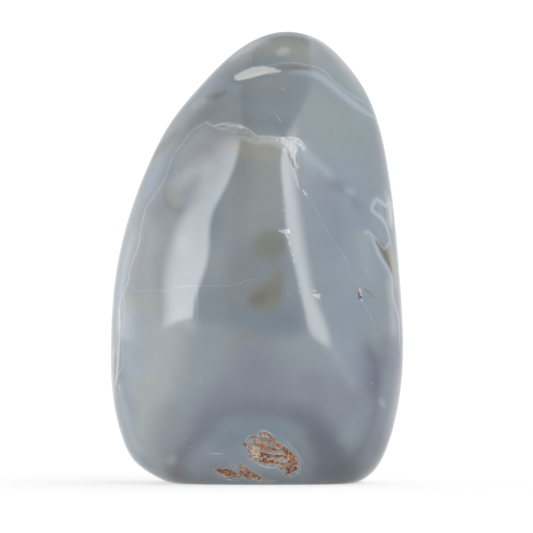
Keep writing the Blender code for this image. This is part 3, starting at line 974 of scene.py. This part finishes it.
class Nodes:
    """Adds nodes to a tree. An input is a number, a colour or another node's output."""

    def __init__(self, tree):
        self.tree = tree
        tree.nodes.clear()

    def add(self, kind, inputs=(), **settings):
        made = self.tree.nodes.new(kind)
        for name, value in settings.items():
            setattr(made, name, value)
        for name, value in dict(inputs).items():
            socket = made.inputs[name]
            if isinstance(value, bpy.types.NodeSocket):
                self.tree.links.new(value, socket)
            else:
                socket.default_value = value
        return made

    def math(self, operation, *values):
        return self.add("ShaderNodeMath", dict(enumerate(values)), operation=operation).outputs[0]

    def step(self, value, low, high):
        """A soft step from 0 at low to 1 at high."""
        inputs = {"Value": value, "From Min": low, "From Max": high}
        return self.add("ShaderNodeMapRange", inputs, interpolation_type="SMOOTHSTEP").outputs[0]

    def between(self, value, low, high, soft):
        """1 from low to high and 0 outside, with soft edges."""
        rise = self.step(value, low - soft, low + soft)
        return self.math("MULTIPLY", rise, self.step(value, high + soft, high - soft))

    def scaled(self, value, factor, added):
        return self.math("MULTIPLY_ADD", value, factor, added)

    def product(self, *values):
        result = values[0]
        for value in values[1:]:
            result = self.math("MULTIPLY", result, value)
        return result

    def mix(self, share, first, second):
        inputs = {0: share, 6: first, 7: second}
        return self.add("ShaderNodeMix", inputs, data_type="RGBA").outputs[2]

    def attribute(self, name, output):
        return self.add("ShaderNodeAttribute", attribute_name=name).outputs[output]

    def stretch(self, vector, factor):
        inputs = {0: vector, "Scale": factor}
        return self.add("ShaderNodeVectorMath", inputs, operation="SCALE").outputs[0]

    def surface(self, inputs):
        shader = self.add("ShaderNodeBsdfPrincipled", inputs)
        self.add("ShaderNodeOutputMaterial", {"Surface": shader.outputs[0]})

    def noise(self, place, scale, detail=2, rough=0.5, twist=0):
        inputs = {"Vector": place, "Scale": scale, "Detail": detail, "Roughness": rough}
        return self.add("ShaderNodeTexNoise", {**inputs, "Distortion": twist}).outputs[0]


def opaque(colour):
    return (*skin_colour(*colour), 1)


def agate_material():
    """Clouded grey chalcedony with veins and chips under a polish, and rough brown pores."""
    material = bpy.data.materials.new("clouded_agate_skin")
    material.use_nodes = True
    nodes = Nodes(material.node_tree)
    step, scaled, product = nodes.step, nodes.scaled, nodes.product
    place = nodes.stretch(nodes.add("ShaderNodeTexCoord").outputs["Object"], 1 / MM)

    haze = nodes.noise(place, 0.10, 4, 0.55, 0.8)
    fine = nodes.noise(place, 1.1, 3, 0.6)
    drift = nodes.noise(place, 0.035, 1, 0.4, 0.3)
    bands = nodes.math("SINE", product(drift, 95))
    shade = scaled(haze, 0.10, 0.93)
    shade = scaled(fine, 0.03, shade)
    shade = scaled(bands, 0.008, shade)
    colour = nodes.stretch(nodes.attribute("body", "Color"), shade)

    wobble = nodes.math("SUBTRACT", fine, 0.5)
    uneven = scaled(nodes.noise(place, 0.28, 2), 1.6, 0.2)
    for name, _ in MARK_LAYERS:
        depth = scaled(wobble, 0.6, nodes.attribute(name, "Fac"))
        share = product(step(depth, -0.5, 0.5), nodes.attribute(name + "_colour", "Alpha"))
        colour = nodes.mix(share, colour, nodes.attribute(name + "_colour", "Color"))

    for name in ("first_line", "second_line"):
        parts = nodes.add("ShaderNodeSeparateXYZ", {0: nodes.attribute(name, "Vector")})
        beside, half, strength = parts.outputs
        away = nodes.math("ABSOLUTE", scaled(wobble, 0.22, beside))
        drawn = step(nodes.math("SUBTRACT", away, half), 0.16, -0.18)
        drawn = product(drawn, step(half, 0, 0.08), product(strength, uneven))
        colour = nodes.mix(drawn, colour, opaque(LINE_WHITE))

    grain = nodes.noise(place, 1.5, 4, 0.7, 0.8)
    pits = nodes.noise(place, 2.3, 3, 0.7, 0.5)
    patch = nodes.noise(place, 0.35, 2, 0.5)
    edge = scaled(wobble, 0.9, nodes.attribute("pore", "Fac"))
    floor = nodes.attribute("pore_floor", "Color")
    # Cream on the raised grain and dark brown in the low pits: partly the crust's and stain's own colours,
    # partly a painted highlight on the bumps and painted shade in the pits
    for value, none, full, strength, tint in (
        (grain, 0.50, 0.60, 0.6, PORE_CREAM),
        (patch, 0.48, 0.60, 0.4, PORE_RUST),
        (pits, 0.46, 0.37, 0.85, PORE_DARK),
        (edge, 0.30, 0.05, 0.7, PORE_RIM),
    ):
        floor = nodes.mix(product(step(value, none, full), strength), floor, opaque(tint))
    halo = product(nodes.between(edge, -0.50, -0.20, 0.10), product(uneven, 0.25))
    colour = nodes.mix(halo, colour, opaque(PORE_HALO))
    in_pore = step(edge, -0.10, 0.12)
    colour = nodes.mix(in_pore, colour, floor)

    roughness = scaled(in_pore, 0.55, scaled(haze, 0.03, 0.05))
    height = product(nodes.math("ADD", grain, pits), in_pore)
    bump = nodes.add("ShaderNodeBump", {"Strength": 0.6, "Distance": 0.3 * MM, "Height": height})
    inputs = {"Base Color": colour, "Roughness": roughness, "IOR": 1.54, "Normal": bump.outputs[0]}
    nodes.surface(inputs)
    return material


# The light of the tent: its wall, its dark openings, its panels, what three parts of the wall and
# the lamp add to that, and the plain backdrop that the camera sees
WALL = 1.05
OPENING = 0.10
PANEL = 6.3
FAR_LEFT = 1.0
OVER_LEFT = -0.75
OVER_RIGHT = 0.7
LAMP_LIGHT = 1.8
BACKDROP = 1.1

# Where they are. A ray's way is given by how far it goes sideways and upward for each unit ahead of
# the stone, by how far it goes over the stone for each unit up, or by its height z from -1 to 1.
# A panel has its full light between the two inner numbers, and none beyond the outer ones.
LEAST = 0.02
LEFT_PANEL = (-1.30, -0.66, -0.40, -0.33)
RIGHT_PANEL = (0.194, 0.220, 0.242, 0.35)
PANEL_TOPS = ((0.88, 0.50), (0.74, 0.45))
GAP = (-0.36, 0.19)
STRIP_ACROSS = (-0.43, 0.36)
STRIP_ALONG = (-3.2, 0.62)
LAMP = (-0.02, -0.177)
LAMP_REACH = (0.085, 0.120)

FLOOR_SIDE = 60.0


def tent_world():
    """A white tent with two bright panels, a dark strip overhead and a dark opening in front."""
    world = bpy.data.worlds.new("tent")
    bpy.context.scene.world = world
    world.use_nodes = True
    nodes = Nodes(world.node_tree)
    step, scaled, product = nodes.step, nodes.scaled, nodes.product
    way = nodes.add("ShaderNodeTexCoord").outputs["Generated"]
    x, y, z = nodes.add("ShaderNodeSeparateXYZ", {0: way}).outputs
    ahead = nodes.math("MAXIMUM", product(y, -1), LEAST)
    sideways = nodes.math("DIVIDE", x, ahead)
    upward = nodes.math("DIVIDE", z, ahead)
    above = nodes.math("MAXIMUM", z, LEAST)
    over_x, over_y = nodes.math("DIVIDE", x, above), nodes.math("DIVIDE", y, above)
    in_front = step(y, LEAST, -LEAST)

    strip = product(
        nodes.between(over_x, *STRIP_ACROSS, 0.03),
        nodes.between(over_y, *STRIP_ALONG, 0.08),
        step(z, 0.0, 0.1),
    )
    gap_foot = scaled(sideways, -0.2, z)
    gap = product(
        nodes.between(sideways, *GAP, 0.02),
        step(z, 0.66, 0.58),
        step(gap_foot, 0.007, 0.017),
        in_front,
    )
    dark = nodes.math("MAXIMUM", strip, gap)

    far_left = product(step(x, -0.45, -0.9), step(y, -0.4, 0.3))
    over_left = product(
        step(over_x, -0.1, -0.5),
        step(over_x, -2.6, -1.6),
        step(over_y, 1.0, -0.6),
        step(z, 0.15, 0.35),
    )
    over_right = product(step(over_x, 0.2, 0.4), step(z, 0.2, 0.5))
    wall = scaled(far_left, FAR_LEFT, WALL)
    wall = scaled(over_right, OVER_RIGHT, scaled(over_left, OVER_LEFT, wall))
    level = scaled(dark, OPENING - WALL, wall)

    outer, full, still_full, inner = LEFT_PANEL
    widened = scaled(step(z, 0.20, 0.05), 0.20, 1.0)
    left_panel = product(
        step(product(sideways, widened), outer, full),
        step(sideways, inner, still_full),
        step(upward, *PANEL_TOPS[0]),
        step(z, 0.026, 0.035),
        scaled(step(z, 0.34, 0.08), 0.22, 1.0),
    )
    right_foot = scaled(sideways, 0.134, z)
    inner, full, still_full, outer = RIGHT_PANEL
    narrowed = scaled(step(z, 0.11, 0.05), -0.3, 1.0)
    right_panel = product(
        step(scaled(step(z, 0.14, 0.20), 0.018, sideways), inner, full),
        step(product(sideways, narrowed), outer, still_full),
        step(upward, *PANEL_TOPS[1]),
        step(right_foot, 0.068, 0.078),
    )
    panels = product(nodes.math("MAXIMUM", left_panel, right_panel), in_front)
    level = scaled(panels, PANEL - WALL, level)
    squares = []
    for over, middle, reach in zip((over_x, over_y), LAMP, LAMP_REACH):
        offset = nodes.math("DIVIDE", nodes.math("SUBTRACT", over, middle), reach)
        squares.append(product(offset, offset))
    lamp = step(nodes.math("ADD", *squares), 1.25, 0.85)
    level = scaled(product(lamp, step(z, 0.5, 0.6)), LAMP_LIGHT, level)
    tent = nodes.add("ShaderNodeBackground", {"Color": (1, 1, 1, 1), "Strength": level})
    plain = nodes.add("ShaderNodeBackground", {"Color": (1, 1, 1, 1), "Strength": BACKDROP})
    straight = nodes.add("ShaderNodeLightPath").outputs["Is Camera Ray"]
    shown = nodes.add("ShaderNodeMixShader", {0: straight, 1: tent.outputs[0], 2: plain.outputs[0]})
    nodes.add("ShaderNodeOutputWorld", {"Surface": shown.outputs[0]})


def build_stage():
    scene = bpy.context.scene
    scene.view_settings.view_transform = "Standard"
    tent_world()

    bpy.ops.mesh.primitive_plane_add(size=FLOOR_SIDE)
    floor = bpy.context.object
    floor.name = "floor"
    paper = bpy.data.materials.new("white_paper")
    paper.use_nodes = True
    inputs = {
        "Base Color": (0.45, 0.45, 0.45, 1),
        "Roughness": 1,
        "Specular IOR Level": 0,
        "Emission Color": (1, 1, 1, 1),
        "Emission Strength": 0.58,
    }
    Nodes(paper.node_tree).surface(inputs)
    floor.data.materials.append(paper)

    lens = bpy.data.cameras.new("camera")
    lens.sensor_width = SENSOR
    lens.lens = SENSOR * CAMERA_AWAY * PHOTO_SCALE / PHOTO_SIDE
    lens.clip_end = 100
    camera = bpy.data.objects.new("camera", lens)
    camera.location = SKIN.camera * MM
    camera.rotation_euler = SKIN.back.to_track_quat("Z", "Y").to_euler()
    scene.collection.objects.link(camera)
    scene.camera = camera


def build_stone():
    stone = stone_object()
    stone.data.materials.append(agate_material())
    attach(stone, "root")
    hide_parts("agate_stone")


build_stone()
build_stage()
